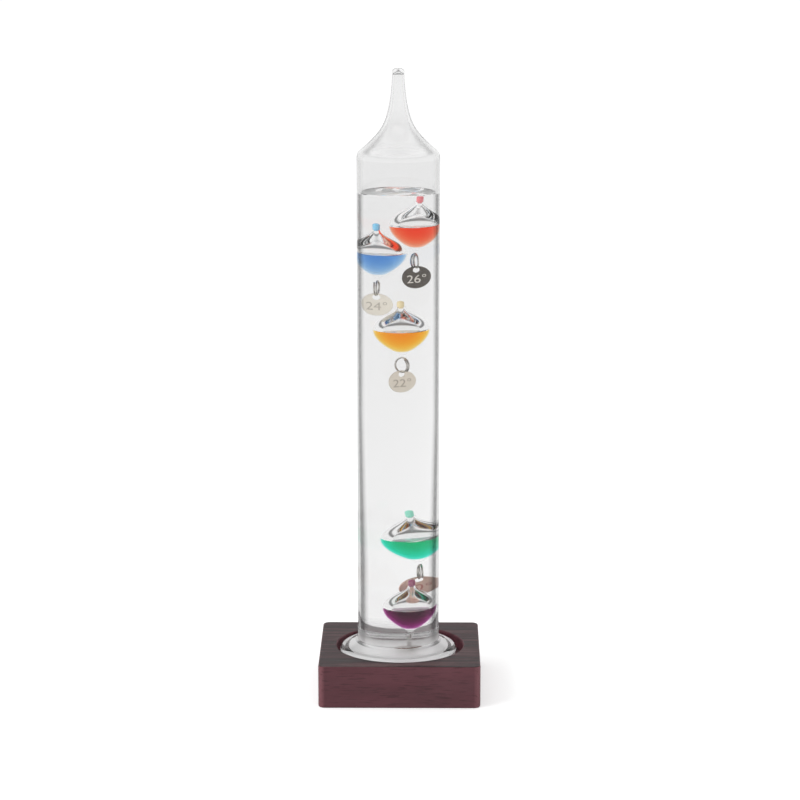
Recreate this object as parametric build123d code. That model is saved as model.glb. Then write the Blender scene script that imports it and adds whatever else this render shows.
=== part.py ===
"""A galileo thermometer: a sealed glass vessel of clear liquid on a wooden base, with five glass floats.

Millimetres, +Z up. The origin is the centre of the base's underside, and -Y is the front.
Each float is a blown onion bulb, half full of dye and closed by a coloured glass seal, with a split
ring in its eyelet and a round number tag on the ring.
"""
from build123d import *
from math import cos, radians, sin, tan
from typing import NamedTuple
import os

# Wooden base, a square block with a round recess for the vessel's foot
BASE_SIDE = 77.0
BASE_HEIGHT = 20.4
BASE_CORNER_RADIUS = 3.2
BASE_EDGE_ROUND = 0.8
RECESS_DEPTH = 6.0
RECESS_EDGE_CHAMFER = 0.4

# Glass vessel, heights from the plane that its foot stands on
FOOT_DIA = 56.2
FOOT_RIM_RADIUS = 2.0
FOOT_RIM_HEIGHT = 4.2
FOOT_STAND_DIA = 50.4
FOOT_STAND_WIDTH = 2.6
FOOT_DISH_HEIGHT = 1.5
FOOT_TOP_HEIGHT = 8.5
FOOT_JUNCTION_RADIUS = 1.2
TUBE_DIA = 39.2
TUBE_WALL = 1.8
TUBE_FLOOR_HEIGHT = 4.3
TUBE_FLOOR_CORNER_REACH = 9.0
TUBE_FLOOR_CORNER_HEIGHT = 13.0
SHOULDER_HEIGHT = 243.0
TAPER_HEIGHT = 38.6
TAPER_FORM = [
    (0, 0), (0.044, 0.072), (0.17, 0.125), (0.41, 0.22), (0.66, 0.345), (0.895, 0.6), (0.975, 0.83), (1, 1)]
NECK_DIA = 5.8
NECK_WALL = 0.8
TIP_LENGTH = 3.4
TIP_ROUND = 1.3
TIP_CROWN = 0.2
TIP_WALL = 1.4
RECESS_GAP = 2.7
VESSEL_SHIFT = -0.8

# Clear liquid, up to the air that is left under the shoulder, with a thin film of space to every wall
AIR_HEIGHT = 16.1
FILM = 0.08

# Glass bulb of a float, heights from its widest place. Floats and hangings are made to the bore: two
# bulbs side by side would be too wide for it by the overlap.
BULB_DIA = 19.4
BULB_OVERLAP = 3.2
BULB_WALL = 0.45
BULB_BELLY_DIA = 15.8
BULB_BELLY_DROP = 5.0
BULB_TAPER_DIA = 8.2
BULB_TAPER_DROP = 9.0
BULB_STEM_DIA = 3.4
BULB_STEM_DROP = 10.6
BULB_CROWN_DIA = 16.2
BULB_CROWN_RISE = 4.5
BULB_DOME_DIA = 8.4
BULB_DOME_RISE = 8.1
NECK_TUBE_DIA = 3.3
NECK_TUBE_BORE = 2.2
NECK_TUBE_RISE = 11.4
EYELET_STEM_DIA = 2.4
EYELET_STEM_LENGTH = 1.25
EYELET_HOLE_DIA = 1.5
EYELET_WIRE_DIA = 1.0

# Coloured seal on the bulb's neck
SEAL_DIA = 2.5
SEAL_HEIGHT = 3.0
SEAL_ROUND = 0.8
SEAL_PLUG_LENGTH = 0.6
SEAL_GAP = 0.03

# Split ring, one wire wound a turn and a third
RING_DIA = 7.6
RING_WIRE_DIA = 0.65
RING_TURNS = 1.3
RING_STRAND_GAP = 0.2
LINK_GAP = 0.07

# Round tag
TAG_DIA = 10.6
TAG_THICKNESS = 0.5
TAG_HOLE_DIA = 2.6
TAG_RIM = 0.5
TAG_EDGE_ROUND = 0.12
TAG_LYING_GAP = 0.07

# Sizes that follow
FOOT_FLOOR = BASE_HEIGHT - RECESS_DEPTH
RECESS_DIA = FOOT_DIA + 2 * RECESS_GAP
BORE_RADIUS = TUBE_DIA / 2 - TUBE_WALL
LIQUID_HEIGHT = SHOULDER_HEIGHT - AIR_HEIGHT
LIQUID_LEVEL = FOOT_FLOOR + LIQUID_HEIGHT
VESSEL_FLOOR = FOOT_FLOOR + TUBE_FLOOR_HEIGHT
FLOAT_BORE_RADIUS = BULB_DIA - BULB_OVERLAP / 2
BORE_SCALE = BORE_RADIUS / FLOAT_BORE_RADIUS
TUBE_FLOOR_CORNER_TOP = TUBE_FLOOR_HEIGHT + TUBE_FLOOR_CORNER_HEIGHT * BORE_SCALE
EYELET_DROP = BULB_STEM_DROP + EYELET_STEM_LENGTH + EYELET_HOLE_DIA / 2
RING_RADIUS = (RING_DIA - RING_WIRE_DIA) / 2
RING_PITCH = RING_WIRE_DIA + RING_STRAND_GAP
RING_DROP = EYELET_DROP + EYELET_HOLE_DIA / 2 - RING_WIRE_DIA / 2 - LINK_GAP + RING_RADIUS
SPLIT_HALF_TURN = 180 * (RING_TURNS - 1)

# Directions in which the outlines start and end, as (outwards, up)
OUT, IN, UP = (1, 0), (-1, 0), (0, 1)
DISH_EDGE = (1, -0.35)
FOOT_SIDE = (1, 0.3)
FOOT_TOP = (-1, 0.1)
FOOT_NECK = (-1, 0.6)
STEM_FLARE = (0.5, 1)
HOLLOW_FLARE = (1, 0.5)


class Float(NamedTuple):
    """Where a float hangs and how it and its tag are turned.

    height is that of the bulb's widest place over the datum, which is the liquid's level or the
    vessel's floor. side is the way from the vessel's axis to the float and lean is its tilt towards +X,
    both in degrees. The turns are those of the ring's wire and the tag's face from the front towards
    +X. The ring's split is at its front (1) or back (-1), and swing tips the tag's lower edge back. A
    tag that lies on the vessel's floor rests its rim on the ring's wire.
    """

    name: str
    datum: float
    wall_gap: float
    side: float
    height: float
    lean: float
    ring_turn: float
    ring_split: int
    tag_turn: float
    tag_swing: float
    tag_lies: bool = False


# Depths under the liquid's surface of the floats that are up, and how far the sunk ones stand up
RED_DEPTH = 15.3
BLUE_DEPTH = 28.6
ORANGE_DEPTH = 65.1
PURPLE_STAND = 21.5
GREEN_ABOVE_PURPLE = 33.2

FLOATS = [
    Float("red", LIQUID_LEVEL, 1.6, -9, -RED_DEPTH, 4, 24, -1, 30, 0),
    Float("blue", LIQUID_LEVEL, 1.2, 172, -BLUE_DEPTH, -1, -20, 1, -6, 0),
    Float("orange", LIQUID_LEVEL, 6.5, -48, -ORANGE_DEPTH, -1.5, 39, 1, 33, 0),
    Float("green", VESSEL_FLOOR, 0.4, 54, PURPLE_STAND + GREEN_ABOVE_PURPLE, -7, 18, 1, 26, 22),
    Float("purple", VESSEL_FLOOR, 3.7, -14, PURPLE_STAND, 1, 2, 1, 2, -87, True),
]


def inset(points, distance):
    """Outline points, as (radius, height), moved square to the outline towards the axis."""
    moved = []
    for place, here in enumerate(points):
        before, after = points[max(place - 1, 0)], points[min(place + 1, len(points) - 1)]
        along = (Vector(*after) - Vector(*before)).normalized()
        moved.append((here[0] - distance * abs(along.Y), here[1] - distance * abs(along.X) * rise(along)))
    return moved


def rise(along):
    """1 where an upward outline closes over the space inside it, -1 where it closes under it."""
    return 1 if along.X * along.Y < 0 else -1


def outline(points, start, end):
    """A smooth curve through (radius, height) points, with its directions at both ends."""
    directions = [(out, 0, up) for out, up in (start, end)]
    return Spline([(r, 0, h) for r, h in points], tangents=directions, tangent_scalars=(1, 1))


def beside(curve, first, last, spans=12):
    """Points along an upward outline, moved square to it towards the axis.

    The distance goes evenly from first at its start to last at its end.
    """
    moved = []
    for share in [place / spans for place in range(spans + 1)]:
        here, along = curve @ share, curve % share
        distance = first + (last - first) * share
        moved.append((here.X - distance * along.Z, here.Z + distance * along.X))
    return moved


def segment(first, second):
    """A straight stretch of outline between two (radius, height) points."""
    return Line((first[0], 0, first[1]), (second[0], 0, second[1]))


def turned(*curves):
    """The solid that a closed half outline sweeps about the Z axis."""
    return revolve(make_face(Curve() + list(curves)), Axis.Z)


def moved_to_axis(solid, height=0.0):
    """A piece of the vessel, set on the vessel's own axis."""
    return Pos(VESSEL_SHIFT, 0, height) * solid


def wooden_base():
    """The block, with rounded edges and the recess turned into its top."""
    block = extrude(RectangleRounded(BASE_SIDE, BASE_SIDE, BASE_CORNER_RADIUS), BASE_HEIGHT)
    ends = block.faces().sort_by(Axis.Z)
    block = fillet(ends[0].edges() + ends[-1].edges(), BASE_EDGE_ROUND)
    block -= Pos(0, 0, FOOT_FLOOR) * extrude(Circle(RECESS_DIA / 2), BASE_HEIGHT)
    lip = block.faces().sort_by(Axis.Z)[-1].edges().filter_by(GeomType.CIRCLE).sort_by(SortBy.RADIUS)[-1]
    return chamfer(lip, RECESS_EDGE_CHAMFER)


def tube_floor(gap):
    """The outline of the vessel's rounded floor, from the axis to the wall, a gap inside the glass."""
    wall = BORE_RADIUS - gap
    low = TUBE_FLOOR_HEIGHT + gap
    flat = BORE_RADIUS - TUBE_FLOOR_CORNER_REACH * BORE_SCALE
    top = TUBE_FLOOR_CORNER_TOP
    halfway = (flat + (wall - flat) * sin(radians(45)), top - (top - low) * cos(radians(45)))
    return segment((0, low), (flat, low)) + outline([(flat, low), halfway, (wall, top)], OUT, UP)


def taper_points():
    """The vessel's drawn shoulder and neck, from the tube's side up to the sealed tip."""
    tube, span = TUBE_DIA / 2, (TUBE_DIA - NECK_DIA) / 2
    return [(tube - span * inward, SHOULDER_HEIGHT + TAPER_HEIGHT * up) for inward, up in TAPER_FORM]


def glass_vessel():
    """Foot, tube, shoulder and drawn tip, blown in one piece of glass and hollow."""
    taper = taper_points()
    tube, rim = TUBE_DIA / 2, FOOT_DIA / 2 - FOOT_RIM_RADIUS
    stand_out = FOOT_STAND_DIA / 2
    stand_in = stand_out - FOOT_STAND_WIDTH
    tip = (0, taper[-1][1] + TIP_LENGTH)
    tip_side = (NECK_DIA / 2, tip[1] - TIP_CROWN - TIP_ROUND)
    tip_edge = (NECK_DIA / 2 - TIP_ROUND, tip[1] - TIP_CROWN)
    widest, rim_top = (FOOT_DIA / 2, FOOT_RIM_HEIGHT), (rim, FOOT_RIM_HEIGHT + FOOT_RIM_RADIUS)
    junction_out = (tube + FOOT_JUNCTION_RADIUS, FOOT_TOP_HEIGHT)
    junction_up = (tube, FOOT_TOP_HEIGHT + FOOT_JUNCTION_RADIUS)
    outside = turned(
        outline([(0, FOOT_DISH_HEIGHT), (stand_in, 0)], OUT, DISH_EDGE),
        segment((stand_in, 0), (stand_out, 0)),
        outline([(stand_out, 0), widest], FOOT_SIDE, UP),
        outline([widest, rim_top], UP, FOOT_TOP),
        outline([rim_top, junction_out], FOOT_TOP, FOOT_NECK),
        outline([junction_out, junction_up], FOOT_NECK, UP),
        segment(junction_up, taper[0]),
        outline(taper, UP, UP),
        segment(taper[-1], tip_side),
        outline([tip_side, tip_edge], UP, IN),
        outline([tip_edge, tip], IN, IN),
        segment(tip, (0, FOOT_DISH_HEIGHT)),
    )
    bore = beside(outline(taper, UP, UP), TUBE_WALL, NECK_WALL)
    bore_tip = (0, tip[1] - TIP_WALL)
    inside = turned(
        tube_floor(0),
        segment((BORE_RADIUS, TUBE_FLOOR_CORNER_TOP), bore[0]),
        outline(bore, UP, UP),
        outline([bore[-1], bore_tip], UP, IN),
        segment(bore_tip, (0, TUBE_FLOOR_HEIGHT)),
    )
    return moved_to_axis(outside - inside, FOOT_FLOOR)


def bulb_points():
    """The bulb's outer outline as two runs of points: up from the stem, and on to the neck."""
    wide = (BULB_DIA / 2, 0)
    lower = [
        (BULB_STEM_DIA / 2, -BULB_STEM_DROP),
        (BULB_TAPER_DIA / 2, -BULB_TAPER_DROP),
        (BULB_BELLY_DIA / 2, -BULB_BELLY_DROP),
        wide,
    ]
    upper = [
        wide,
        (BULB_CROWN_DIA / 2, BULB_CROWN_RISE),
        (BULB_DOME_DIA / 2, BULB_DOME_RISE),
        (NECK_TUBE_DIA / 2, NECK_TUBE_RISE),
    ]
    return lower, upper


def bulb_form(distance):
    """The onion form, set inside the bulb's outer outline by a distance, or outside it if negative."""
    lower, upper = bulb_points()
    lower, upper = inset(lower, distance), inset(upper, distance)
    lower[-1] = upper[0] = (BULB_DIA / 2 - distance, 0)
    bottom, top = (0, lower[0][1]), (0, upper[-1][1])
    return turned(
        segment(bottom, lower[0]),
        outline(lower, HOLLOW_FLARE if distance > 0 else STEM_FLARE, UP),
        outline(upper, UP, UP),
        segment(upper[-1], top),
        segment(top, bottom),
    )


def rod(diameter, low, high):
    """A round bar on the float's axis between two heights."""
    return Pos(0, 0, low) * extrude(Circle(diameter / 2), high - low)


class Hung:
    """The places and directions of one float's pieces, from the vessel's axis at the float's datum."""

    def __init__(self, piece):
        reach = FLOAT_BORE_RADIUS - BULB_DIA / 2 - piece.wall_gap
        side, turn, face = radians(piece.side), radians(piece.ring_turn), radians(piece.tag_turn)
        self.name = piece.name
        self.datum = piece.datum
        self.centre = Vector(reach * cos(side), reach * sin(side), piece.height)
        self.place = Pos(self.centre) * Rot(0, piece.lean, 0)
        self.wire = Vector(sin(turn), -cos(turn), 0) * piece.ring_split
        self.ring_axis = self.wire.cross(Vector(0, 0, 1))
        lean = radians(piece.lean)
        self.eyelet = self.centre - Vector(sin(lean), 0, cos(lean)) * EYELET_DROP
        self.ring = self.eyelet - Vector(0, 0, RING_DROP - EYELET_DROP)
        hang = self.ring - Vector(0, 0, RING_RADIUS) + self.ring_axis * RING_PITCH / 2
        swing = radians(piece.tag_swing)
        front = Vector(sin(face), -cos(face), 0)
        self.tag_down = Vector(0, 0, -cos(swing)) - front * sin(swing)
        self.tag_face = front * cos(swing) - Vector(0, 0, sin(swing))
        if piece.tag_lies:
            above = TAG_THICKNESS / 2 + RING_WIRE_DIA / 2 + TAG_LYING_GAP
            along = (TAG_RIM + TAG_HOLE_DIA) / 2 + LINK_GAP
            self.hole = hang + self.tag_face * above + self.tag_down * along
        else:
            wire_reach = RING_WIRE_DIA / 2 / cos(swing) + TAG_THICKNESS / 2 * abs(tan(swing)) + LINK_GAP
            self.hole = hang + self.tag_down * (TAG_HOLE_DIA / 2 - wire_reach)
        self.tag = self.hole + self.tag_down * (TAG_DIA / 2 - TAG_RIM - TAG_HOLE_DIA / 2)

    def fitted(self, solid):
        """A piece of the float, scaled to the bore and set in the vessel."""
        scaled = solid.scale(BORE_SCALE)
        scaled.position = solid.position * BORE_SCALE
        return moved_to_axis(scaled, self.datum)


def bulb(hung):
    """The blown glass bulb, open at its neck, with the eyelet drawn from its stem."""
    glass = bulb_form(0) - bulb_form(BULB_WALL)
    glass -= rod(NECK_TUBE_BORE, BULB_DOME_RISE, NECK_TUBE_RISE + BULB_WALL)
    hoop_radius, wire_radius = (EYELET_HOLE_DIA + EYELET_WIRE_DIA) / 2, EYELET_WIRE_DIA / 2
    stem = rod(EYELET_STEM_DIA, -EYELET_DROP + hoop_radius, -BULB_STEM_DROP)
    eyelet = Plane(hung.eyelet, z_dir=hung.wire) * Torus(hoop_radius, wire_radius)
    return hung.place * (glass + stem) + eyelet


def dye(hung):
    """The coloured filling: the bulb's hollow up to its widest place, with a level top."""
    hollow = hung.place * bulb_form(BULB_WALL + FILM)
    hung_down = (Align.CENTER, Align.CENTER, Align.MAX)
    return hollow & (Pos(hung.centre) * Box(BULB_DIA, BULB_DIA, 2 * BULB_STEM_DROP, align=hung_down))


def seal(hung):
    """The bead of coloured glass that closes the neck, with a plug down its bore."""
    bead = rod(SEAL_DIA, NECK_TUBE_RISE + SEAL_GAP, NECK_TUBE_RISE + SEAL_HEIGHT)
    bead = fillet(bead.faces().sort_by(Axis.Z)[-1].edges(), SEAL_ROUND)
    plug = rod(NECK_TUBE_BORE - 2 * SEAL_GAP, NECK_TUBE_RISE - SEAL_PLUG_LENGTH, NECK_TUBE_RISE + SEAL_GAP)
    return hung.place * (bead + plug)


def ring(hung):
    """The split ring: a wound wire whose ends lie side by side at one side of the ring."""
    path = Helix(pitch=RING_PITCH, height=RING_PITCH * RING_TURNS, radius=RING_RADIUS)
    section = Plane(path @ 0, z_dir=path % 0) * Circle(RING_WIRE_DIA / 2)
    wire = sweep(section, path=path, is_frenet=True)
    start = hung.wire.rotate(Axis((0, 0, 0), hung.ring_axis), -SPLIT_HALF_TURN)
    centre = hung.ring - hung.ring_axis * RING_PITCH * (SPLIT_HALF_TURN + 90) / 360
    return Plane(centre, x_dir=start, z_dir=hung.ring_axis) * wire


def tag(hung):
    """The stamped disc with its hole near the upper edge."""
    disc = extrude(Circle(TAG_DIA / 2), TAG_THICKNESS / 2, both=True)
    disc = fillet(disc.edges().filter_by(GeomType.CIRCLE), TAG_EDGE_ROUND)
    offset = TAG_DIA / 2 - TAG_RIM - TAG_HOLE_DIA / 2
    disc -= Pos(-offset, 0, 0) * extrude(Circle(TAG_HOLE_DIA / 2), TAG_THICKNESS, both=True)
    return Plane(hung.tag, x_dir=hung.tag_down, z_dir=hung.tag_face) * disc


def room_for(hung):
    """The space that a float and its ring and tag take up in the liquid."""
    seal_top = NECK_TUBE_RISE + SEAL_HEIGHT + FILM
    body = bulb_form(-FILM) + rod(SEAL_DIA + 2 * FILM, BULB_DOME_RISE, seal_top)
    eyelet_dia = EYELET_HOLE_DIA + 2 * EYELET_WIRE_DIA + 2 * FILM
    body += rod(eyelet_dia, -EYELET_DROP - eyelet_dia / 2, -BULB_STEM_DROP)
    turns = RING_PITCH * RING_TURNS + RING_WIRE_DIA + 2 * FILM
    start = RING_PITCH * (SPLIT_HALF_TURN + 90) / 360 + RING_WIRE_DIA / 2 + FILM
    band = extrude(Circle(RING_DIA / 2 + FILM) - Circle(RING_DIA / 2 - RING_WIRE_DIA - FILM), turns)
    band = Plane(hung.ring - hung.ring_axis * start, z_dir=hung.ring_axis) * band
    disc = extrude(Circle(TAG_DIA / 2 + FILM), TAG_THICKNESS / 2 + FILM, both=True)
    disc = Plane(hung.tag, z_dir=hung.tag_face) * disc
    return [hung.place * body, band, disc]


def clear_liquid(floats):
    """The liquid that fills the tube to its level, with room for the floats where they hang."""
    wall = BORE_RADIUS - FILM
    liquid = turned(
        tube_floor(FILM),
        segment((wall, TUBE_FLOOR_CORNER_TOP), (wall, LIQUID_HEIGHT)),
        segment((wall, LIQUID_HEIGHT), (0, LIQUID_HEIGHT)),
        segment((0, LIQUID_HEIGHT), (0, TUBE_FLOOR_HEIGHT + FILM)),
    )
    liquid = moved_to_axis(liquid, FOOT_FLOOR)
    for hung in floats:
        for room in room_for(hung):
            liquid -= hung.fitted(room)
    return liquid


def write(name, solid):
    """Writes one piece to its own file."""
    export_step(solid, os.path.join("parts", name + ".step"))


os.makedirs("parts", exist_ok=True)
hung_floats = [Hung(piece) for piece in FLOATS]
write("wooden_base", wooden_base())
write("glass_vessel", glass_vessel())
write("clear_liquid", clear_liquid(hung_floats))
for one in hung_floats:
    for make in (bulb, dye, seal, ring, tag):
        write(one.name + "_" + make.__name__, one.fitted(make(one)))
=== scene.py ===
"""The looks of a galileo thermometer: a sealed glass vessel of clear liquid on a dark wooden base, with
five glass floats. Metres in Blender; the sizes below are in millimetres."""
import math
import bmesh
import bpy
import numpy as np
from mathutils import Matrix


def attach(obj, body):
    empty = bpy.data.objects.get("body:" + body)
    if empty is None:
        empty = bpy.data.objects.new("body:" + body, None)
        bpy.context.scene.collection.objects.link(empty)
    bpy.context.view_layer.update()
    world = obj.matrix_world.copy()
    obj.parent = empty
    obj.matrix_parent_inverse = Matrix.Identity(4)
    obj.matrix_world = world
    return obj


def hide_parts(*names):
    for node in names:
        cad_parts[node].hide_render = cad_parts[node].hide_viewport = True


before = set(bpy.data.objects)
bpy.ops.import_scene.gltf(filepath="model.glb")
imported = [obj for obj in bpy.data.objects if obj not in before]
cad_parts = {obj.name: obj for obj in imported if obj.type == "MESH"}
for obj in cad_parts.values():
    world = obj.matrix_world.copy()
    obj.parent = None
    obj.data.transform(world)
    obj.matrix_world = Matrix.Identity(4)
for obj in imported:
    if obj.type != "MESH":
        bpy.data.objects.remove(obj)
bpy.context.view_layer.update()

MM = 0.001

# The camera stands a little right of the front, at a seated person's eye, and looks slightly down.
camera = bpy.data.objects.new("camera", bpy.data.cameras.new("camera"))
bpy.context.scene.collection.objects.link(camera)
bpy.context.scene.camera = camera
CAMERA_TURN = math.radians(0.5)
CAMERA_DISTANCE, CAMERA_HEIGHT, CAMERA_PITCH = 1.31482, 0.41136, 0.20250
CAMERA_LENS, FILM_WIDTH = 126.486, 36.0
camera.location = (
    CAMERA_DISTANCE * math.sin(CAMERA_TURN), -CAMERA_DISTANCE * math.cos(CAMERA_TURN), CAMERA_HEIGHT)
camera.rotation_euler = (math.pi / 2 - CAMERA_PITCH, 0, CAMERA_TURN)
camera.data.sensor_width, camera.data.lens = FILM_WIDTH, CAMERA_LENS
camera.data.clip_start, camera.data.clip_end = 0.05, 50


# Wooden base: one block of hardwood, stained dark and waxed, with its recess turned on a lathe. The
# grain runs along X. The sides are redder and plainer, the top is worn into dark and light streaks,
# the corners carry a painted highlight that makes them lighter, and the ends of the pores show as
# short dark strokes.
class Value:
    """A socket of a node material. Python's operators on it add the Math nodes they stand for."""

    def __init__(self, finish, socket):
        self.finish, self.socket = finish, socket

    def math(self, operation, *others):
        values = dict(enumerate((self,) + others))
        return self.finish.node("ShaderNodeMath", {"operation": operation}, values)[0]

    def __add__(self, other):
        return self.math("ADD", other)

    def __sub__(self, other):
        return self.math("SUBTRACT", other)

    def __rsub__(self, other):
        return (self * -1.0).math("ADD", other)

    def __mul__(self, other):
        return self.math("MULTIPLY", other)

    def __truediv__(self, other):
        return self.math("DIVIDE", other)

    def __pow__(self, other):
        return self.math("POWER", other)

    def __gt__(self, other):
        return self.math("GREATER_THAN", other)

    def __lt__(self, other):
        return self.math("LESS_THAN", other)

    def __or__(self, other):
        return self.math("MAXIMUM", other)

    def __abs__(self):
        return self.math("ABSOLUTE")

    def limited(self, low, high):
        return self.math("MAXIMUM", low).math("MINIMUM", high)

    __radd__, __rmul__ = __add__, __mul__


class Finish:
    """A node material, written one node at a time."""

    def __init__(self, name):
        self.material = bpy.data.materials.new(name)
        self.material.use_nodes = True
        self.tree = self.material.node_tree
        self.tree.nodes.clear()
        self.output = self.tree.nodes.new("ShaderNodeOutputMaterial")

    def node(self, kind, settings=None, values=None):
        """Adds a node, sets its settings (a ramp's stops as (place, colour) pairs), then feeds its
        sockets with numbers, colours or other sockets. Returns its outputs by number or name."""
        node = self.tree.nodes.new(kind)
        for key, setting in (settings or {}).items():
            if key == "stops":
                ramp = node.color_ramp
                while len(ramp.elements) < len(setting):
                    ramp.elements.new(0.5)
                for stop, (place, colour) in zip(ramp.elements, setting):
                    stop.position, stop.color = place, colour
            else:
                setattr(node, key, setting)
        for key, value in (values or {}).items():
            if isinstance(value, Value):
                self.tree.links.new(value.socket, node.inputs[key])
            else:
                node.inputs[key].default_value = value
        return Outputs(self, node)

    def surface(self, shader):
        self.tree.links.new(shader.socket, self.output.inputs["Surface"])

    def volume(self, shader):
        self.tree.links.new(shader.socket, self.output.inputs["Volume"])


class Outputs:
    """A node's outputs, as values."""

    def __init__(self, finish, node):
        self.finish, self.node = finish, node

    def __getitem__(self, key):
        return Value(self.finish, self.node.outputs[key])


def grey(level):
    return (level, level, level, 1.0)


def split(finish, vector):
    """A vector's parts, by the names X, Y and Z."""
    return finish.node("ShaderNodeSeparateXYZ", {}, {0: vector})


def own_place(finish, origin=(0.0, 0.0, 0.0)):
    """Where a point of the piece is, in metres from an origin in millimetres."""
    place = finish.node("ShaderNodeTexCoord")["Object"]
    return finish.node("ShaderNodeMapping", {}, {
        "Vector": place, "Location": tuple(-MM * part for part in origin)})[0]


def noise(finish, waves, detail, roughness=0.5):
    """Noise from 0 to 1 with so many waves a metre along X, Y and Z."""
    place = finish.node("ShaderNodeMapping", {}, {
        "Vector": finish.node("ShaderNodeTexCoord")["Object"], "Scale": waves})[0]
    return finish.node("ShaderNodeTexNoise", {}, {
        "Vector": place, "Scale": 1.0, "Detail": detail, "Roughness": roughness})["Fac"]


def ramp(finish, stops, at):
    """The colour that a ramp has at a value."""
    return finish.node("ShaderNodeValToRGB", {"stops": stops}, {"Fac": at})["Color"]


def blended(finish, factor, first, second):
    """A colour between two."""
    return finish.node("ShaderNodeMix", {"data_type": "RGBA"}, {0: factor, 6: first, 7: second})[2]


RECESS_FLOOR = 14.4
# The corners' painted highlight starts so far out from the middle and grows over the next few
# millimetres.
CORNER_HIGHLIGHT_FROM, CORNER_HIGHLIGHT_OVER = 35.3, 3.03
SIDE_STAIN = [
    (0.30, (0.088, 0.029, 0.037, 1.0)),
    (0.50, (0.118, 0.038, 0.049, 1.0)),
    (0.66, (0.146, 0.050, 0.062, 1.0)),
]
TOP_STAIN = [
    (0.42, (0.014, 0.006, 0.007, 1.0)),
    (0.50, (0.046, 0.021, 0.024, 1.0)),
    (0.60, (0.120, 0.070, 0.073, 1.0)),
]
# The corners' painted highlight colour, and the pores' own stain.
CORNER_HIGHLIGHT, PORE_STAIN = (0.30, 0.115, 0.135, 1.0), (0.016, 0.006, 0.006, 1.0)

wood = Finish("dark_wood")
grain = noise(wood, (14.0, 330.0, 45.0), 6.0, 0.62)
pores = noise(wood, (120.0, 1500.0, 1500.0), 3.0)
worn = noise(wood, (15.0, 190.0, 70.0), 6.0, 0.7)
strokes = (pores - 0.56).math("MAXIMUM", 0.0) * 5.0
block = split(wood, own_place(wood))
to_side, to_front = (
    ((abs(block[axis]) - CORNER_HIGHLIGHT_FROM * MM) / (CORNER_HIGHLIGHT_OVER * MM)).limited(0.0, 1.0)
    for axis in ("X", "Y"))
upward = split(wood, wood.node("ShaderNodeNewGeometry")["Normal"])["Z"]
# Painted highlight: the side colour goes lighter towards each corner.
side_colour_and_highlight = blended(wood, to_side * to_front * 0.85, ramp(wood, SIDE_STAIN, grain), CORNER_HIGHLIGHT)
stained = blended(wood, upward > 0.8, side_colour_and_highlight, ramp(wood, TOP_STAIN, worn))
bump = wood.node("ShaderNodeBump", {}, {
    "Strength": 0.4, "Distance": 0.0002, "Height": grain - strokes})[0]
wood.surface(wood.node("ShaderNodeBsdfPrincipled", {}, {
    "Base Color": blended(wood, strokes.math("MINIMUM", 0.3), stained, PORE_STAIN),
    "Roughness": 0.16 + 0.75 * worn, "Specular IOR Level": 0.32, "Normal": bump})[0])


def finish_node(name, finish):
    """Gives a CAD node its material, in its own slot."""
    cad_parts[name].material_slots[0].material = finish.material


finish_node("wooden_base", wood)

# Glass vessel: foot, tube, shoulder and drawn tip, blown in one piece of borosilicate glass and sealed
# at the tip. Where the liquid wets the bore, the glass and the liquid bend light almost alike.
FOOT_DIA, FOOT_RIM_RADIUS, FOOT_RIM_HEIGHT = 56.2, 2.0, 4.2
FOOT_STAND_DIA, FOOT_STAND_WIDTH, FOOT_DISH_HEIGHT = 50.4, 2.6, 1.5
FOOT_TOP_HEIGHT, FOOT_JUNCTION_RADIUS = 8.5, 1.2
TUBE_DIA, TUBE_WALL = 39.2, 1.8
TUBE_FLOOR_HEIGHT, TUBE_FLOOR_CORNER_REACH, TUBE_FLOOR_CORNER_HEIGHT = 4.3, 9.0, 13.0
SHOULDER_HEIGHT, TAPER_HEIGHT, NECK_DIA = 243.0, 38.6, 5.8
NECK_WALL, TIP_LENGTH, TIP_ROUND, TIP_CROWN, TIP_WALL = 0.8, 3.4, 1.3, 0.2, 1.4
VESSEL_SHIFT = -0.8
BORE_RADIUS = TUBE_DIA / 2 - TUBE_WALL
LIQUID_HEIGHT = 226.9
LIQUID_LEVEL = RECESS_FLOOR + LIQUID_HEIGHT
GLASS_BEND = 1.46
# The tube is tinted a little more than the thin blown top. Its wall has painted shade where it is seen
# along itself, from the level down, in bands that grow wider towards the foot. The thick bottom of
# the tube has a painted glow, a white frosting that lightens it, and the underside of the foot is
# ground.
TUBE_TINT, BLOWN_TINT, EDGE_SHADE, GROUND_AND_GLOW_TINT = grey(0.905), grey(0.965), grey(0.30), grey(0.93)
EDGES_WIDEN_FROM, EDGES_WIDEN_OVER = 122.0, 70.0
# The tube bottom's painted glow: from this height down, over so many millimetres, and how strong.
PAINTED_GLOW_FROM, PAINTED_GLOW_OVER, PAINTED_GLOW = 17.0, 7.0, 0.595


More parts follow.
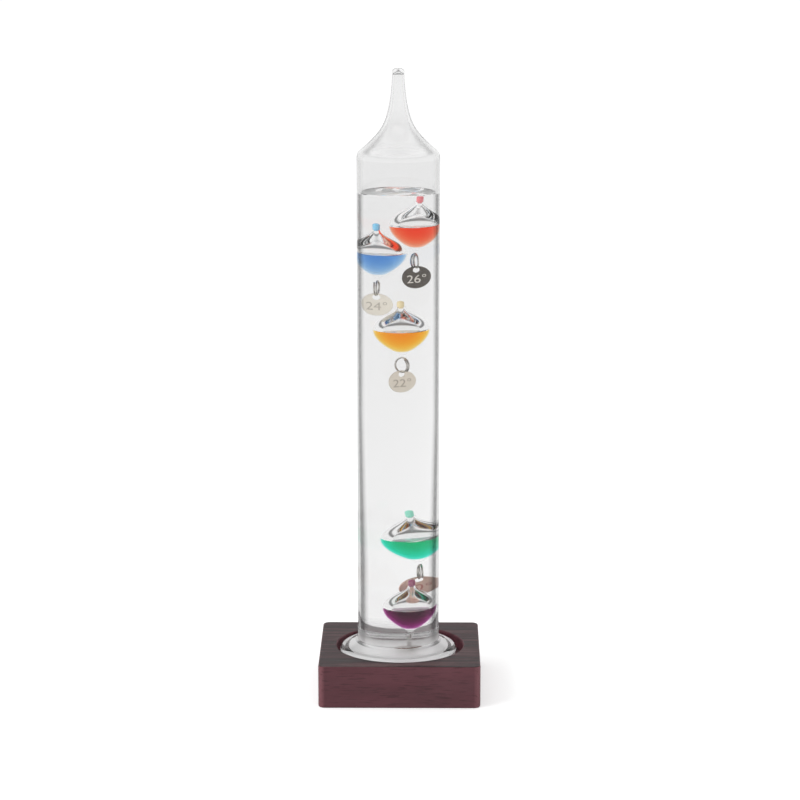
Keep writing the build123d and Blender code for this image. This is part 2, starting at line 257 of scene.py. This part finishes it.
def run(points, start, end, count):
    """A smooth outline through (radius, height) points: the cubic spline whose parameter is the
    distance between them, with unit directions at both ends. Its slopes solve the usual three-term
    equations, and each span is the cubic with its ends' places and slopes."""
    points = np.array(points, float)
    start, end = (np.array(d) / np.hypot(*d) for d in (start, end))
    span = np.hypot(*np.diff(points, axis=0).T)
    knots = np.concatenate([[0], np.cumsum(span)])
    size = len(points)
    matrix, right = np.eye(size), np.zeros((size, 2))
    right[0], right[-1] = start, end
    steps = np.diff(points, axis=0) / span[:, None]
    for row in range(1, size - 1):
        matrix[row, row - 1:row + 2] = span[row], 2 * (span[row] + span[row - 1]), span[row - 1]
        right[row] = 3 * (span[row] * steps[row - 1] + span[row - 1] * steps[row])
    slope = np.linalg.solve(matrix, right)
    at = np.linspace(0, knots[-1], count)
    left = np.clip(np.searchsorted(knots, at, side="right") - 1, 0, size - 2)
    width = span[left][:, None]
    share = ((at - knots[left]) / span[left])[:, None]
    return (
        (2 * share**3 - 3 * share**2 + 1) * points[left]
        + (3 * share**2 - 2 * share**3) * points[left + 1]
        + (share**3 - 2 * share**2 + share) * width * slope[left]
        + (share**3 - share**2) * width * slope[left + 1])


def level_run(first, second, count):
    """A straight outline from one (radius, height) point to another, both ends included."""
    return np.linspace(first, second, count)


def joined(*runs):
    """Outlines one after another, without the points that they share."""
    rows = np.concatenate(runs)
    keep = np.concatenate([[True], np.hypot(*np.diff(rows, axis=0).T) > 1e-6])
    return rows[keep]


def capped(rows, around):
    """The faces of rings of points, one above another, closed by fans to a point below and a point
    above. Those two come after the rings."""
    column = np.arange(around)
    after = (column + 1) % around
    low = np.arange(rows - 1)[:, None] * around
    quads = np.stack([low + column, low + after, low + around + after, low + around + column], -1)
    top = (rows - 1) * around
    below = np.stack([np.full(around, rows * around), after, column], -1)
    above = np.stack([np.full(around, rows * around + 1), top + column, top + after], -1)
    return quads.reshape(-1, 4).tolist() + below.tolist() + above.tolist()


def turned(rows, around=224):
    """The closed surface that an outline from the axis back to the axis sweeps about Z: at angle a a
    row is at (radius cos a, radius sin a, height), and the two ends are single points. Seen from
    outside, an outline that runs upwards turns its faces outwards. Returns points and faces."""
    angle = np.linspace(0, 2 * np.pi, around, endpoint=False)
    radius, height = rows[1:-1].T
    rings = np.stack([np.outer(radius, np.cos(angle)), np.outer(radius, np.sin(angle)),
                      np.repeat(height[:, None], around, 1)], -1).reshape(-1, 3)
    ends = [[0, 0, rows[0, 1]], [0, 0, rows[-1, 1]]]
    return np.concatenate([rings, ends]), capped(len(radius), around)


def make(name, parts, finish, body, stands_for=()):
    """One piece from (points in millimetres, faces) parts, smooth, riding on a body."""
    points, faces, count = [], [], 0
    for place, shape in parts:
        points.append(place)
        faces += [[index + count for index in face] for face in shape]
        count += len(place)
    mesh = bpy.data.meshes.new(name)
    mesh.from_pydata((np.concatenate(points) * MM).tolist(), [], faces)
    mesh.shade_smooth()
    mesh.materials.append(finish.material)
    piece = bpy.data.objects.new(name, mesh)
    bpy.context.scene.collection.objects.link(piece)
    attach(piece, body)
    if stands_for:
        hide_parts(*stands_for)
    return piece


tube, bore, neck = TUBE_DIA / 2, BORE_RADIUS, NECK_DIA / 2
stand_out, stand_in = FOOT_STAND_DIA / 2, FOOT_STAND_DIA / 2 - FOOT_STAND_WIDTH
widest, rim_top = (FOOT_DIA / 2, FOOT_RIM_HEIGHT), (
    FOOT_DIA / 2 - FOOT_RIM_RADIUS, FOOT_RIM_HEIGHT + FOOT_RIM_RADIUS)
junction_out, junction_up = (tube + FOOT_JUNCTION_RADIUS, FOOT_TOP_HEIGHT), (
    tube, FOOT_TOP_HEIGHT + FOOT_JUNCTION_RADIUS)
TAPER_FORM = ((0, 0), (0.044, 0.072), (0.17, 0.125), (0.41, 0.22), (0.66, 0.345), (0.895, 0.6),
              (0.975, 0.83), (1, 1))
taper = [(tube - (tube - neck) * inward, SHOULDER_HEIGHT + TAPER_HEIGHT * up)
         for inward, up in TAPER_FORM]
taper_run = run(taper, (0, 1), (0, 1), 90)
tip = (0, taper[-1][1] + TIP_LENGTH)
tip_side, tip_edge = (neck, tip[1] - TIP_CROWN - TIP_ROUND), (neck - TIP_ROUND, tip[1] - TIP_CROWN)
vessel_outside = joined(
    run([(0, FOOT_DISH_HEIGHT), (stand_in, 0)], (1, 0), (1, -0.35), 16),
    level_run((stand_in, 0), (stand_out, 0), 3),
    run([(stand_out, 0), widest], (1, 0.3), (0, 1), 14),
    run([widest, rim_top], (0, 1), (-1, 0.1), 14),
    run([rim_top, junction_out], (-1, 0.1), (-1, 0.6), 12),
    run([junction_out, junction_up], (-1, 0.6), (0, 1), 8),
    level_run(junction_up, taper[0], 60),
    taper_run,
    level_run(taper[-1], tip_side, 6),
    run([tip_side, tip_edge], (0, 1), (-1, 0), 10),
    run([tip_edge, tip], (-1, 0), (-1, 0), 6))


def inset(rows, distance):
    """An outline moved square to itself: each row goes left of the way that the outline runs."""
    way = np.gradient(rows, axis=0)
    way /= np.hypot(*way.T)[:, None]
    return rows + np.reshape(distance, (-1, 1)) * np.stack([-way[:, 1], way[:, 0]], -1)


def floor_run(gap):
    """The bore's rounded floor, from the axis out to the wall."""
    wall, low, flat = bore - gap, TUBE_FLOOR_HEIGHT + gap, bore - TUBE_FLOOR_CORNER_REACH
    top = TUBE_FLOOR_HEIGHT + TUBE_FLOOR_CORNER_HEIGHT
    half = math.sqrt(0.5)
    corner = run([(flat, low), (flat + (wall - flat) * half, top - (top - low) * half), (wall, top)],
                 (1, 0), (0, 1), 24)
    return joined(level_run((0, low), (flat, low), 8), corner)


taper_bore = inset(taper_run, np.linspace(TUBE_WALL, NECK_WALL, len(taper_run)))
bore_end = (0, tip[1] - TIP_WALL)
vessel_bore = joined(
    floor_run(0), level_run((bore, TUBE_FLOOR_HEIGHT + TUBE_FLOOR_CORNER_HEIGHT), taper_bore[0], 80),
    taper_bore, run([taper_bore[-1], bore_end], (0, 1), (-1, 0), 8))


def light_path(finish):
    """1 for rays that only carry light, not a picture: shadow rays and what a matt surface sends."""
    path = finish.node("ShaderNodeLightPath")
    return path["Is Shadow Ray"] | path["Is Diffuse Ray"]


def mixed(finish, factor, first, second):
    return finish.node("ShaderNodeMixShader", {}, {0: factor, 1: first, 2: second})[0]


def clear(finish, colour=grey(1.0)):
    return finish.node("ShaderNodeBsdfTransparent", {}, {"Color": colour})[0]


def bending(finish, bend, colour=grey(1.0)):
    return finish.node("ShaderNodeBsdfGlass", {}, {"Color": colour, "IOR": bend, "Roughness": 0.0})[0]


vessel_glass = Finish("vessel_glass")
at = split(vessel_glass, own_place(vessel_glass, (VESSEL_SHIFT, 0.0, RECESS_FLOOR)))
out, up = (at["X"] ** 2.0 + at["Y"] ** 2.0) ** 0.5 / MM, at["Z"] / MM
inside_wall = out < BORE_RADIUS + TUBE_WALL / 2
under_level = up < LIQUID_HEIGHT
wetted = inside_wall * under_level * (up > TUBE_FLOOR_HEIGHT - 1.0)
# Painted shade: dark bands where the wall is seen along itself, wider towards the foot.
lower_half = ((EDGES_WIDEN_FROM - up) / EDGES_WIDEN_OVER).limited(0.0, 1.0)
facing = vessel_glass.node("ShaderNodeLayerWeight", {}, {"Blend": 0.5})["Facing"]
edge_shade = ramp(vessel_glass, [
    (0.0, grey(0.0)), (0.44, grey(0.0)), (0.52, grey(0.35)), (0.60, grey(0.9)), (0.70, grey(0.9)),
    (0.78, grey(0.25)), (1.0, grey(0.2))], facing + 0.10 * lower_half)
full = under_level * (up > FOOT_TOP_HEIGHT)
outer_wall = mixed(vessel_glass, up > SHOULDER_HEIGHT, bending(vessel_glass, GLASS_BEND, TUBE_TINT),
                   bending(vessel_glass, GLASS_BEND, BLOWN_TINT))
edge_shaded = mixed(vessel_glass, edge_shade * (0.15 + (0.75 + 0.15 * lower_half) * full), outer_wall,
              bending(vessel_glass, GLASS_BEND, EDGE_SHADE))
wall = mixed(vessel_glass, inside_wall * (up < SHOULDER_HEIGHT), edge_shaded,
             bending(vessel_glass, GLASS_BEND))
frosted_and_glow = mixed(
    vessel_glass, 0.75,
    vessel_glass.node("ShaderNodeBsdfGlass", {}, {
        "Color": grey(0.97), "IOR": GLASS_BEND, "Roughness": 0.4})[0],
    vessel_glass.node("ShaderNodeBsdfDiffuse", {}, {"Color": GROUND_AND_GLOW_TINT})[0])
ground = up < FOOT_RIM_HEIGHT - 0.2
# Painted glow: the outside of the tube's thick bottom is frosted white, fading out upwards.
tube_outside = (out > TUBE_DIA / 2 - 0.2) * (up > FOOT_TOP_HEIGHT + FOOT_JUNCTION_RADIUS)
painted_glow = ((PAINTED_GLOW_FROM - up) / PAINTED_GLOW_OVER).limited(0.0, 1.0) * PAINTED_GLOW * tube_outside
vessel_glass.surface(mixed(vessel_glass, wetted | light_path(vessel_glass),
                           mixed(vessel_glass, ground | painted_glow, wall, frosted_and_glow), clear(vessel_glass)))


def set_down(parts, sideways=VESSEL_SHIFT, up=RECESS_FLOOR):
    """Parts of the vessel, moved onto its own axis and the recess's floor."""
    return [(points + [sideways, 0, up], faces) for points, faces in parts]


def turned_in(rows):
    """As turned, with the faces towards the axis, for a hollow."""
    points, faces = turned(rows)
    return points, [face[::-1] for face in faces]


make("blown_vessel", set_down([turned(vessel_outside), turned_in(vessel_bore)]), vessel_glass,
     "vessel", ["glass_vessel"])

# Clear liquid: it fills the tube to its level and climbs the glass a little, as liquids that wet
# glass do. The air above it makes the surface shine from above and from below.
MENISCUS_RISE, MENISCUS_REACH = 0.4, 1.6
LIQUID_GAP = 0.02
surface_radius = np.linspace(bore - LIQUID_GAP, 0, 60)
surface_run = np.stack([surface_radius, LIQUID_HEIGHT + MENISCUS_RISE * np.exp(
    (surface_radius - bore) / MENISCUS_REACH)], -1)
liquid_rows = joined(
    floor_run(LIQUID_GAP),
    level_run((bore - LIQUID_GAP, TUBE_FLOOR_HEIGHT + TUBE_FLOOR_CORNER_HEIGHT), surface_run[0], 60),
    surface_run)
liquid = Finish("clear_liquid")
under_surface = split(liquid, own_place(liquid))["Z"] < (LIQUID_LEVEL - 0.01) * MM
upright = abs(split(liquid, liquid.node("ShaderNodeNewGeometry")["Normal"])["Z"]) < 0.2
liquid.surface(mixed(liquid, under_surface | upright | light_path(liquid),
                     bending(liquid, GLASS_BEND), clear(liquid)))
make("filled_liquid", set_down([turned(liquid_rows)]), liquid,
     "vessel", ["clear_liquid"])

# Floats: blown onion bulbs, half full of dye. Each glass is drawn to a neck above, where a bead of
# coloured glass seals it, and to an eyelet below for its split ring.
BULB_DIA, BULB_WALL = 19.4, 0.45
BULB_STEM_DROP, NECK_TOP, NECK_RADIUS, NECK_BORE = 10.6, 11.4, 1.65, 1.1
BULB_LOWER = [(1.7, -BULB_STEM_DROP), (4.1, -9.0), (7.9, -5.0), (BULB_DIA / 2, 0)]
BULB_UPPER = [(BULB_DIA / 2, 0), (8.1, 4.5), (4.2, 8.1), (NECK_RADIUS, NECK_TOP)]
SEAL_DIA, SEAL_HEIGHT, SEAL_GAP, SEAL_PLUG, SEAL_ROUND = 2.5, 3.0, 0.03, 0.6, 0.9
EYELET_HOLE, EYELET_WIRE, EYELET_STEM_DIA, EYELET_STEM_LENGTH = 1.5, 1.0, 2.4, 1.25
EYELET_DROP = BULB_STEM_DROP + EYELET_STEM_LENGTH + EYELET_HOLE / 2
AROUND_BULB, AROUND_SEAL = 160, 48
WET_BEND = 1.02
vessel_floor = RECESS_FLOOR + TUBE_FLOOR_HEIGHT
# Each float's room to the tube's wall, its side in degrees round from the right, its height, its lean
# and the turn of its ring, both in degrees.
FLOATS = {
    "red": (1.6, -9, LIQUID_LEVEL - 15.3, 4, 24),
    "blue": (1.2, 172, LIQUID_LEVEL - 28.6, -1, -20),
    "orange": (6.5, -48, LIQUID_LEVEL - 65.1, -1.5, 39),
    "green": (0.4, 54, vessel_floor + 54.7, -7, 18),
    "purple": (3.7, -14, vessel_floor + 21.5, 1, 2),
}
# What each dye lets through of red, green and blue, and how strong it is for a metre of it.
DYE_COLOURS = {
    "red": ((0.995, 0.36, 0.05), 260.0),
    "blue": ((0.13, 0.55, 0.88), 160.0),
    "orange": ((0.995, 0.79, 0.03), 330.0),
    "green": ((0.0, 0.92, 0.82), 560.0),
    "purple": ((0.66, 0.0, 0.56), 560.0),
}
SEAL_COLOURS = {
    "red": (0.90, 0.24, 0.27),
    "blue": (0.24, 0.60, 0.86),
    "orange": (0.90, 0.76, 0.46),
    "green": (0.32, 0.82, 0.64),
    "purple": (0.32, 0.07, 0.15),
}
lower = run(BULB_LOWER, (0.5, 1), (0, 1), 40)
upper = run(BULB_UPPER, (0, 1), (0, 1), 48)
hollow_points = inset(np.array(BULB_LOWER, float), BULB_WALL)
hollow_points[-1] = BULB_DIA / 2 - BULB_WALL, 0
hollow_lower, hollow_upper = run(hollow_points, (1, 0.5), (0, 1), 40), inset(upper, BULB_WALL)
hollow_upper = hollow_upper[hollow_upper[:, 0] > NECK_BORE]
stem_low = -EYELET_DROP + (EYELET_HOLE + EYELET_WIRE) / 2
bulb_rows = joined(
    level_run((0, stem_low), (EYELET_STEM_DIA / 2, stem_low), 3),
    level_run((EYELET_STEM_DIA / 2, stem_low), (EYELET_STEM_DIA / 2, lower[0, 1]), 3), lower, upper,
    level_run((NECK_RADIUS, NECK_TOP), (NECK_BORE, NECK_TOP), 3),
    level_run((NECK_BORE, NECK_TOP - 0.1), (NECK_BORE, hollow_upper[-1, 1]), 6), hollow_upper[::-1],
    hollow_lower[::-1], [(0, hollow_lower[0, 1])])
inside_rows = len(hollow_lower) + len(hollow_upper) + 4


def leaned(points, centre, lean):
    """A float's own points, tipped towards +X by its lean, so that x is x cos(lean) + z sin(lean) and z
    is z cos(lean) - x sin(lean), and moved to its place."""
    x, y, z = points.T
    return np.stack([x * math.cos(lean) + z * math.sin(lean), y,
                     z * math.cos(lean) - x * math.sin(lean)], -1) + centre


def hoop(radius, wire, centre, axis, around=48, round_wire=20):
    """A round wire closed into a ring: radius (cos a, sin a) in the ring's plane, plus the wire's
    radius times cos b outwards and sin b along the ring's axis."""
    a, b = np.meshgrid(np.linspace(0, 2 * np.pi, around, endpoint=False),
                       np.linspace(0, 2 * np.pi, round_wire, endpoint=False), indexing="ij")
    across, up = np.cross(axis, (0, 0, 1)), np.array((0, 0, 1.0))
    reach = radius + wire * np.cos(b)
    points = (reach * np.cos(a))[..., None] * across + (reach * np.sin(a))[..., None] * up + (
        wire * np.sin(b))[..., None] * axis
    i, j = np.meshgrid(np.arange(around), np.arange(round_wire), indexing="ij")
    after, up_one = (i + 1) % around, (j + 1) % round_wire
    quads = np.stack([i * round_wire + j, after * round_wire + j,
                      after * round_wire + up_one, i * round_wire + up_one], -1)
    return points.reshape(-1, 3) + centre, quads.reshape(-1, 4)[:, ::-1].tolist()


def float_glass_for(name, centre):
    """Blown glass in the liquid: nearly unseen where it is wet on both sides, bright where it
    meets the air over the dye."""
    glass = Finish(name + "_float_glass")
    inside = glass.node("ShaderNodeAttribute", {"attribute_name": "inside"})["Fac"] > 0.5
    in_dye = split(glass, own_place(glass, centre))["Z"] < 0.0
    light = light_path(glass)
    wet = mixed(glass, light, bending(glass, WET_BEND), clear(glass))
    dry = mixed(glass, light, bending(glass, GLASS_BEND), clear(glass))
    glass.surface(mixed(glass, inside * (1.0 - in_dye),
                        mixed(glass, inside * in_dye, wet, clear(glass)), dry))
    return glass


def dye_finish(name, centre):
    """A dye: it takes away its own part of the light along the way through it."""
    dye = Finish(name + "_dye")
    colour, strength = DYE_COLOURS[name]
    top = split(dye, own_place(dye))["Z"] > (centre[2] - 0.03) * MM
    dye.surface(mixed(dye, (1.0 - top) | light_path(dye), bending(dye, GLASS_BEND), clear(dye)))
    dye.volume(dye.node("ShaderNodeVolumeAbsorption", {}, {
        "Color": colour + (1.0,), "Density": strength})[0])
    return dye


def dye_shape(lean, around=128, steps=48):
    """The dye in a bulb that leans: rows at even shares of the way from the hollow's lowest point up
    to the level plane, whose height over a side is radius times cos a times tan(lean), and then the
    flat top in rings to its middle."""
    side = np.concatenate([hollow_lower, hollow_upper[1:]])
    side = side[np.argsort(side[:, 1])]
    angle = np.linspace(0, 2 * np.pi, around, endpoint=False)
    widest_inside = BULB_DIA / 2 - BULB_WALL
    top = widest_inside * np.cos(angle) * math.tan(lean)
    share = np.sin(np.linspace(0, np.pi / 2, steps))[1:, None]
    bottom = side[0, 1]
    height = bottom + share * (top - bottom)
    radius = np.interp(height, side[:, 1], side[:, 0])
    shrink = np.linspace(1, 0, 14)[1:-1, None]
    radius = np.concatenate([radius, shrink * radius[-1]])
    height = np.concatenate([height, shrink * height[-1]])
    points = np.stack([radius * np.cos(angle), radius * np.sin(angle), height], -1)
    ends = [[0, 0, bottom], [0, 0, 0]]
    return np.concatenate([points.reshape(-1, 3), ends]), capped(len(points), around)


plug, bead = NECK_BORE - SEAL_GAP, SEAL_DIA / 2
seal_low, seal_round_from = NECK_TOP + SEAL_GAP, NECK_TOP + SEAL_HEIGHT - SEAL_ROUND
seal_rows = joined(
    [(0, NECK_TOP - SEAL_PLUG)], level_run((plug, NECK_TOP - SEAL_PLUG), (plug, seal_low), 4),
    level_run((NECK_BORE, seal_low), (bead, seal_low), 3),
    level_run((bead, seal_low + 0.02), (bead, seal_round_from), 5),
    run([(bead, seal_round_from), (0, NECK_TOP + SEAL_HEIGHT)], (0, 1), (-1, 0), 12))

for name, (wall_gap, side, height, lean, ring_turn) in FLOATS.items():
    reach = BORE_RADIUS - BULB_DIA / 2 - wall_gap
    side, lean, turn = math.radians(side), math.radians(lean), math.radians(ring_turn)
    centre = np.array([VESSEL_SHIFT + reach * math.cos(side), reach * math.sin(side), height])
    wire_way = np.array([math.sin(turn), -math.cos(turn), 0])
    glass = float_glass_for(name, centre)
    points, faces = turned(bulb_rows, AROUND_BULB)
    eyelet_centre = centre - EYELET_DROP * np.array([math.sin(lean), 0, math.cos(lean)])
    eyelet = hoop((EYELET_HOLE + EYELET_WIRE) / 2, EYELET_WIRE / 2, eyelet_centre, wire_way)
    piece = make(name + "_blown_bulb", [(leaned(points, centre, lean), faces), eyelet],
                 glass, name + "_float", [name + "_bulb"])
    # The rows of the hollow and of the neck's bore are marked, with the hollow's lowest point.
    mark = piece.data.attributes.new("inside", "FLOAT", "POINT")
    inside = np.zeros(len(piece.data.vertices))
    inside[(len(bulb_rows) - 2 - inside_rows) * AROUND_BULB:len(points) - 2] = 1
    inside[len(points) - 1] = 1
    mark.data.foreach_set("value", inside)
    points, faces = dye_shape(lean)
    make(name + "_dye_fill", [(leaned(points, centre, lean), faces)], dye_finish(name, centre),
         name + "_float", [name + "_dye"])
    seal = Finish(name + "_seal")
    seal.surface(seal.node("ShaderNodeBsdfPrincipled", {}, {
        "Base Color": SEAL_COLOURS[name] + (1.0,), "Roughness": 0.15, "Coat Weight": 0.4})[0])
    points, faces = turned(seal_rows, AROUND_SEAL)
    make(name + "_seal_bead", [(leaned(points, centre, lean), faces)], seal,
         name + "_float", [name + "_seal"])

# Split rings: nickel-plated steel wire, wound a turn and a third.
steel = Finish("ring_wire")
steel.surface(steel.node("ShaderNodeBsdfPrincipled", {}, {
    "Base Color": (0.55, 0.53, 0.50, 1.0), "Metallic": 1.0, "Roughness": 0.28})[0])
for name in FLOATS:
    finish_node(name + "_ring", steel)

# Tags: discs stamped from brass sheet, plated and lightly brushed, with the float's temperature in
# raised digits on the face. The top one and the lowest have a painted reflection that darkens their
# plates, and their digits carry a painted highlight.
TAG_NUMBERS = {"red": 26, "blue": 24, "orange": 22, "green": 20, "purple": 18}
# Each tag's plate and its digits; the dark plates and light digits of the top and lowest tags are
# painted reflection and painted highlight.
TAG_TONES_AND_REFLECTIONS = {
    "red": ((0.13, 0.115, 0.10), (0.80, 0.76, 0.70)),
    "blue": ((0.90, 0.85, 0.75), (0.56, 0.51, 0.44)),
    "orange": ((0.80, 0.73, 0.63), (0.48, 0.42, 0.35)),
    "green": ((0.86, 0.62, 0.52), (0.58, 0.24, 0.20)),
    "purple": ((0.22, 0.12, 0.085), (0.80, 0.72, 0.64)),
}
TAG_DIA, TAG_THICKNESS = 10.6, 0.5
DIGIT_HEIGHT, DIGIT_RELIEF, DIGITS_BELOW_CENTRE = 3.9, 0.06, 1.0
FONT_SIZE_PER_HEIGHT = 1.38


def metal_finish(name, colour):
    """Brushed metal, its fine scratches running across."""
    metal = Finish(name)
    scratches = noise(metal, (300.0, 300.0, 2500.0), 3.0)
    metal.surface(metal.node("ShaderNodeBsdfPrincipled", {}, {
        "Base Color": colour + (1.0,), "Metallic": 0.85, "Roughness": 0.26 + 0.2 * scratches})[0])
    return metal


def tag_frame(name):
    """A tag's centre in millimetres and its ways right, up and out of its face, from its own mesh. The
    box round a disc has the disc's centre, its thinnest way is its axis, and the hole is towards its
    top."""
    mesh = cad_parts[name].data
    points = np.empty(3 * len(mesh.vertices))
    mesh.vertices.foreach_get("co", points)
    points = points.reshape(-1, 3) / MM
    centre = (points.max(0) + points.min(0)) / 2
    spread = points - centre
    out = np.linalg.svd(spread, full_matrices=False)[2][2]
    out *= np.sign(out @ (0, -1, 1))
    flat = spread - np.outer(spread @ out, out)
    up = flat[np.hypot.reduce(flat, axis=1) < 0.47 * TAG_DIA].mean(0)
    up /= np.linalg.norm(up)
    return centre, np.cross(up, out), up, out


def digit_shape(text):
    """Raised digits in their own plane, closed, with their middle at the origin."""
    letters = bpy.data.curves.new("letters", "FONT")
    letters.body, letters.extrude = text, DIGIT_RELIEF
    letters.size = DIGIT_HEIGHT * FONT_SIZE_PER_HEIGHT
    letters.align_x, letters.align_y, letters.resolution_u = "CENTER", "CENTER", 4
    holder = bpy.data.objects.new("letters", letters)
    bpy.context.scene.collection.objects.link(holder)
    seen = bpy.context.evaluated_depsgraph_get()
    mesh = bpy.data.meshes.new_from_object(holder.evaluated_get(seen))
    bpy.data.objects.remove(holder)
    whole = bmesh.new()
    whole.from_mesh(mesh)
    bmesh.ops.remove_doubles(whole, verts=whole.verts, dist=1e-4)
    points = np.array([vert.co[:] for vert in whole.verts])
    faces = [[vert.index for vert in face.verts] for face in whole.faces]
    whole.free()
    return points, faces


for name, number in TAG_NUMBERS.items():
    # For the top and lowest tags these colours are painted reflection and painted highlight.
    plate_tone_and_reflection, digit_tone_and_highlight = TAG_TONES_AND_REFLECTIONS[name]
    finish_node(name + "_tag", metal_finish(name + "_tag_metal", plate_tone_and_reflection))
    centre, right, up, out = tag_frame(name + "_tag")
    points, faces = digit_shape(f"{number}\N{DEGREE SIGN}")
    points[:, 0] -= (points[:, 0].max() + points[:, 0].min()) / 2
    centre = centre + out * TAG_THICKNESS / 2 - up * DIGITS_BELOW_CENTRE
    piece = make(name + "_tag_digits", [(centre + points @ np.array([right, up, out]), faces)],
                 metal_finish(name + "_digit_metal", digit_tone_and_highlight), name + "_tag")
    piece.data.shade_flat()

# Studio: a white floor and a white world, with soft light from above and the left.
FLOOR_REACH = 6
floor_mesh = bpy.data.meshes.new("floor")
floor_mesh.from_pydata([(side * FLOOR_REACH, end * FLOOR_REACH, 0) for side, end in (
    (-1, -1), (1, -1), (1, 1), (-1, 1))], [], [(0, 1, 2, 3)])
floor = bpy.data.objects.new("floor", floor_mesh)
bpy.context.scene.collection.objects.link(floor)
paper = Finish("white_paper")
path = paper.node("ShaderNodeLightPath")
seen = path["Is Camera Ray"] | path["Is Glossy Ray"] | path["Is Transmission Ray"]
matt = paper.node("ShaderNodeBsdfDiffuse", {}, {"Color": grey(0.8)})[0]
lit = paper.node("ShaderNodeEmission", {}, {
    "Color": grey(1.0), "Strength": 0.36 * seen + 0.08 * path["Is Camera Ray"]})[0]
paper.surface(paper.node("ShaderNodeAddShader", {}, {0: matt, 1: lit})[0])
floor_mesh.materials.append(paper.material)

world = bpy.data.worlds.new("studio")
bpy.context.scene.world = world
world.use_nodes = True
world.node_tree.nodes.clear()


class Sky(Finish):
    """The world's node tree, written as a material's is."""

    def __init__(self, tree):
        self.tree = tree
        self.output = tree.nodes.new("ShaderNodeOutputWorld")


sky = Sky(world.node_tree)
path = sky.node("ShaderNodeLightPath")
up = split(sky, sky.node("ShaderNodeTexCoord")["Generated"])["Z"]
reflected = ramp(sky, [
    (0.0, grey(1.0)), (0.36, grey(1.0)), (0.48, grey(0.22)), (0.62, grey(0.30)), (0.72, grey(1.0)),
    (0.92, grey(1.0)), (1.0, grey(0.55))], up)
carried = path["Is Glossy Ray"] | path["Is Transmission Ray"]
colour = blended(sky, path["Is Camera Ray"], blended(sky, carried, grey(0.75), reflected), grey(1.0))
sky.surface(sky.node("ShaderNodeBackground", {}, {"Color": colour, "Strength": 1.0})[0])


def soft_light(name, place, aim, size, power):
    """A square soft box that points at a place."""
    lamp = bpy.data.objects.new(name, bpy.data.lights.new(name, "AREA"))
    bpy.context.scene.collection.objects.link(lamp)
    lamp.data.size, lamp.data.energy = size, power
    lamp.visible_glossy = lamp.visible_transmission = False
    lamp.location = place
    way = np.array(aim) - np.array(place)
    tilt, turn = math.acos(-way[2] / np.linalg.norm(way)), math.atan2(way[1], way[0]) - math.pi / 2
    lamp.rotation_euler = (tilt, 0, turn)
    return lamp


soft_light("left_box", (-0.9, -0.6, 0.9), (0, 0, 0.1), 0.6, 6.0)
scene = bpy.context.scene
scene.view_settings.view_transform = "Standard"
scene.cycles.max_bounces = 32
scene.cycles.transmission_bounces = 28
scene.cycles.transparent_max_bounces = 48
scene.cycles.glossy_bounces = 8
